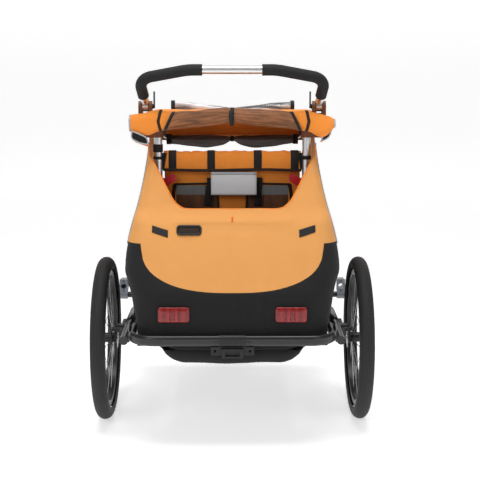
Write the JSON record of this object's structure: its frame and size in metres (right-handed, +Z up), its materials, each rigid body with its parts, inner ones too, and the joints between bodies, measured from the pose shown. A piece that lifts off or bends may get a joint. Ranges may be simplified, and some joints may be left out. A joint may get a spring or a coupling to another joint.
{
  "type": "child bicycle trailer",
  "caption": "Enclosed child carrier on big spoked wheels with a folding roll cage, pushing handlebar, swivelling front wheel and side tow arm.",
  "frame": {"origin": "middle of the footprint on the floor under the tyres", "axes": "+Y forward in the direction of travel, +X to the right seen from behind, +Z up"},
  "size_m": [0.819, 1.0844, 1.0765],
  "materials": {
    "black_frame": "satin black powder coat",
    "black_plastic": "moulded, fine grain",
    "steel": "zinc plated",
    "spoke_steel": "drawn wire",
    "black_cloth": "coated polyester weave",
    "orange_cloth": "coated polyester weave",
    "bright_cloth": "coated polyester weave",
    "webbing": "woven webbing",
    "reflector": "prismatic moulded",
    "grey_cast": "cast, satin",
    "aluminium": "brushed, clear anodised",
    "brown_plastic": "moulded",
    "clear_film": "rolled clear film",
    "mesh": "open net",
    "red_plastic": "moulded",
    "foam": "closed-cell foam",
    "tyre": "matt tread"
  },
  "bodies": {
    "frame": {"side_rail_left": "black_frame", "side_rail_right": "black_frame", "front_cross_tube": "black_frame", "axle_cross_tube": "black_frame", "rear_bumper": "black_frame", "bumper_sleeve": "black_plastic", "bumper_screws": "black_frame", "rear_bracket": "black_plastic", "corner_plates": "black_frame", "side_frame_left": "black_frame", "side_frame_right": "black_frame", "pivot_pins": "steel", "hinge_pins": "steel", "floor_panel": "black_cloth", "tub_side_left": "black_cloth", "tub_side_right": "black_cloth", "tub_rear": "black_cloth", "tub_front": "black_cloth", "rear_panel": "orange_cloth", "cover_side_left": "orange_cloth", "cover_side_right": "orange_cloth", "seat_base": "black_cloth", "seat_back": "bright_cloth", "harness": "webbing", "rear_reflectors": "reflector", "receiver_left": "grey_cast", "receiver_right": "grey_cast", "caster_carrier": "black_frame"},
    "cage": {"roll_hoop": "aluminium", "roof_hoop": "aluminium", "handle_sockets": "brown_plastic", "seat_bar": "aluminium", "roof_cover": "bright_cloth", "rolled_cover": "bright_cloth", "clear_roll": "clear_film", "mesh_roll": "mesh"},
    "fold_latch_left": {"latch_left": "red_plastic"},
    "fold_latch_right": {"latch_right": "red_plastic"},
    "handle": {"handlebar": "aluminium", "handle_grips": "foam"},
    "handle_button_left": {"button_left": "black_plastic"},
    "handle_button_right": {"button_right": "black_plastic"},
    "suspension_left": {"arm_left": "black_frame", "axle_left": "steel"},
    "suspension_right": {"arm_right": "black_frame", "axle_right": "steel"},
    "wheel_left": {"tyre_left": "tyre", "rim_left": "black_frame", "spokes_left": "spoke_steel", "hub_left": "black_frame"},
    "wheel_right": {"tyre_right": "tyre", "rim_right": "black_frame", "spokes_right": "spoke_steel", "hub_right": "black_frame"},
    "brake_left": {"brake_lever_left": "black_plastic"},
    "brake_right": {"brake_lever_right": "black_plastic"},
    "caster": {"caster_fork": "black_frame", "caster_axle": "steel"},
    "front_wheel": {"caster_wheel": "tyre"},
    "tow": {"tow_arm": "black_plastic"}
  },
  "joints": [
    {"name": "cage_fold", "type": "hinge", "parent": "frame", "child": "cage", "pos_m": [0, -0.20486, 0.48], "axis": [-1, 0, 0], "range_deg": [0, 72], "deforming": ["rear_panel", "cover_side_left", "cover_side_right", "seat_back", "harness"]},
    {"name": "handle_fold", "type": "hinge", "parent": "cage", "child": "handle", "pos_m": [0, -0.20486, 0.953], "axis": [-1, 0, 0], "range_deg": [0, 109]},
    {"name": "handle_button_left_press", "type": "slide", "parent": "cage", "child": "handle_button_left", "axis": [-1, 0, 0], "range_m": [0, 0.0025], "stiffness_N_per_m": 800, "springref_m": -0.002},
    {"name": "handle_button_right_press", "type": "slide", "parent": "cage", "child": "handle_button_right", "axis": [1, 0, 0], "range_m": [0, 0.0025], "stiffness_N_per_m": 800, "springref_m": -0.002},
    {"name": "fold_latch_left_turn", "type": "hinge", "parent": "cage", "child": "fold_latch_left", "pos_m": [-0.222, -0.20486, 0.728], "axis": [0, 0, -1], "range_deg": [0, 80]},
    {"name": "fold_latch_right_turn", "type": "hinge", "parent": "cage", "child": "fold_latch_right", "pos_m": [0.222, -0.20486, 0.728], "axis": [0, 0, 1], "range_deg": [0, 80]},
    {"name": "suspension_left_travel", "type": "hinge", "parent": "frame", "child": "suspension_left", "pos_m": [-0.337, -0.09486, 0.265], "axis": [-1, 0, 0], "range_deg": [0, 10], "stiffness_Nm_per_rad": 80, "springref_deg": -14.32},
    {"name": "wheel_left_spin", "type": "hinge", "parent": "suspension_left", "child": "wheel_left", "pos_m": [-0.387, -0.20486, 0.248], "axis": [1, 0, 0], "continuous": true},
    {"name": "brake_left_press", "type": "hinge", "parent": "suspension_left", "child": "brake_left", "pos_m": [-0.355, -0.24286, 0.29], "axis": [1, 0, 0], "range_deg": [0, 12]},
    {"name": "suspension_right_travel", "type": "hinge", "parent": "frame", "child": "suspension_right", "pos_m": [0.337, -0.09486, 0.265], "axis": [-1, 0, 0], "range_deg": [0, 10], "stiffness_Nm_per_rad": 80, "springref_deg": -14.32},
    {"name": "wheel_right_spin", "type": "hinge", "parent": "suspension_right", "child": "wheel_right", "pos_m": [0.387, -0.20486, 0.248], "axis": [1, 0, 0], "continuous": true},
    {"name": "brake_right_press", "type": "hinge", "parent": "suspension_right", "child": "brake_right", "pos_m": [0.355, -0.24286, 0.29], "axis": [1, 0, 0], "range_deg": [0, 12]},
    {"name": "caster_swivel", "type": "hinge", "parent": "frame", "child": "caster", "pos_m": [0, 0.49214, 0.26], "axis": [0, 0, 1], "continuous": true},
    {"name": "front_wheel_spin", "type": "hinge", "parent": "caster", "child": "front_wheel", "pos_m": [0.0171, 0.44516, 0.1], "axis": [0.9397, 0.342, 0], "continuous": true},
    {"name": "tow_arm_swing", "type": "hinge", "parent": "frame", "child": "tow", "pos_m": [-0.372, 0.25714, 0.329], "axis": [0, 0, 1], "range_deg": [0, 63]}
  ],
  "couplings": [
    {"joint": "brake_left_press", "follows": "brake_right_press", "ratio": 1}
  ]
}
